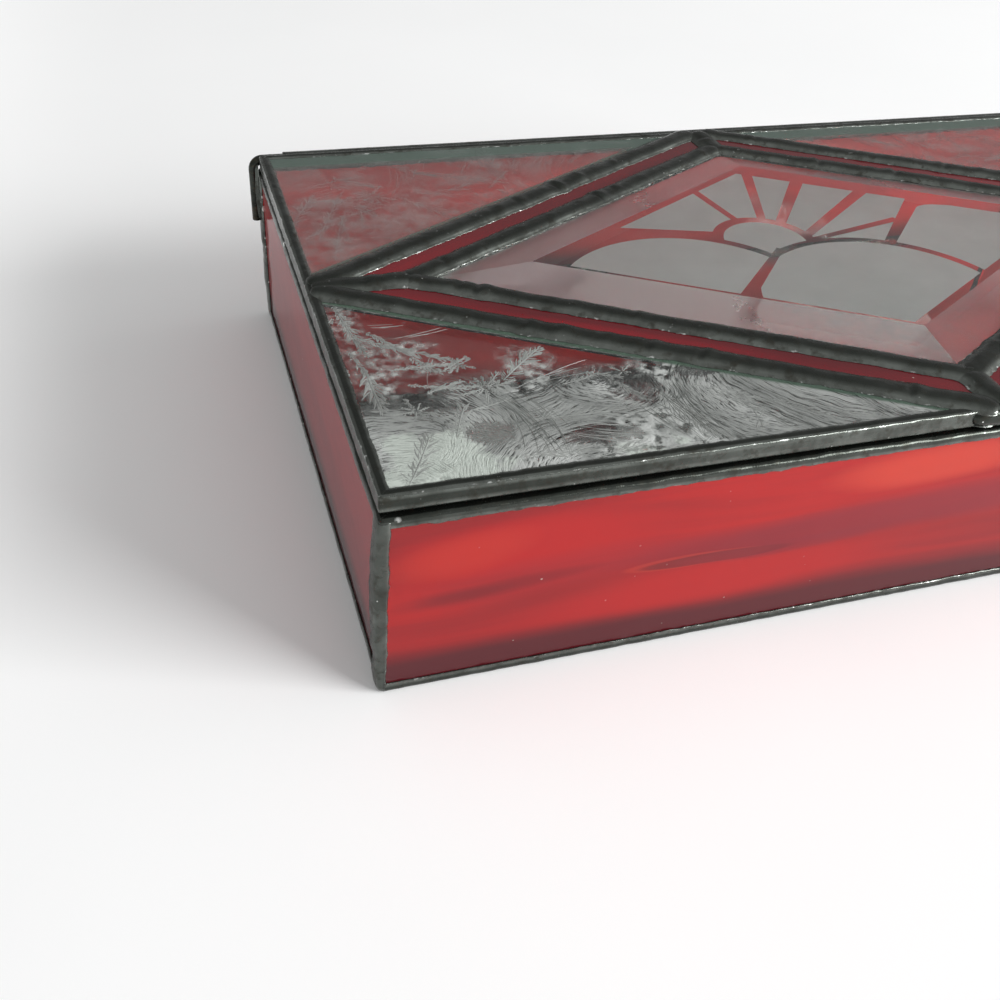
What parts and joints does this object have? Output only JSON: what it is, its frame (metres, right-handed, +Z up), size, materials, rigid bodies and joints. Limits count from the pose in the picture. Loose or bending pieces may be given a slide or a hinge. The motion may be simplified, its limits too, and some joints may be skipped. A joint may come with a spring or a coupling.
{
  "type": "glass keepsake box",
  "caption": "Hinged keepsake box of soldered art glass: red walls on a mirror base, and a lid with a bevelled rhombus between red strips and frost-patterned corners.",
  "frame": {"origin": "middle of the box's outer bounds on the surface that it stands on", "axes": "+X to the right along the long side, +Y from the front towards the hinge, +Z up"},
  "size_m": [0.2628, 0.1528, 0.0504],
  "materials": {
    "red_glass": "glossy streaky red art glass, nearly opaque, with maroon streaks",
    "deep_red_glass": "glossy deep red art glass",
    "frost_glass": "clear glass with fern-like chipped frost relief",
    "bevel_glass": "polished clear plate with ground slopes and an etched fan of frosted panes",
    "mirror": "silvered clear glass, silver side down",
    "solder": "hand-run solder with black patina, satin, worn bright on its high spots",
    "dark_brass": "brass darkened with black patina, satin"
  },
  "bodies": {
    "body": {"base_mirror": "mirror", "front_wall": "red_glass", "back_wall": "red_glass", "left_wall": "red_glass", "right_wall": "red_glass", "corner_seam_front_left": "solder", "corner_seam_front_right": "solder", "corner_seam_back_left": "solder", "corner_seam_back_right": "solder", "base_seam_front": "solder", "base_seam_back": "solder", "base_seam_left": "solder", "base_seam_right": "solder", "rim_seam_front": "solder", "rim_seam_back": "solder", "rim_seam_left": "solder", "rim_seam_right": "solder", "hinge_rod": "dark_brass"},
    "lid": {"hinge_tube": "dark_brass", "hinge_solder": "solder", "lid_edge_front": "solder", "lid_edge_back": "solder", "lid_edge_left": "solder", "lid_edge_right": "solder", "frost_corner_front_left": "frost_glass", "frost_corner_front_right": "frost_glass", "frost_corner_back_left": "frost_glass", "frost_corner_back_right": "frost_glass", "red_strip_front_left": "deep_red_glass", "red_strip_front_right": "deep_red_glass", "red_strip_back_left": "deep_red_glass", "red_strip_back_right": "deep_red_glass", "outer_seam_front_left": "solder", "outer_seam_front_right": "solder", "outer_seam_back_left": "solder", "outer_seam_back_right": "solder", "inner_seam_front_left": "solder", "inner_seam_front_right": "solder", "inner_seam_back_left": "solder", "inner_seam_back_right": "solder", "mitre_seam_front": "solder", "mitre_seam_back": "solder", "mitre_seam_left": "solder", "mitre_seam_right": "solder", "centre_bevel": "bevel_glass", "thumb_lift": "solder"}
  },
  "joints": [
    {"name": "lid_hinge", "type": "hinge", "parent": "body", "child": "lid", "pos_m": [0, 0.0748, 0.0469], "axis": [-1, 0, 0], "range_deg": [0, 110]}
  ]
}
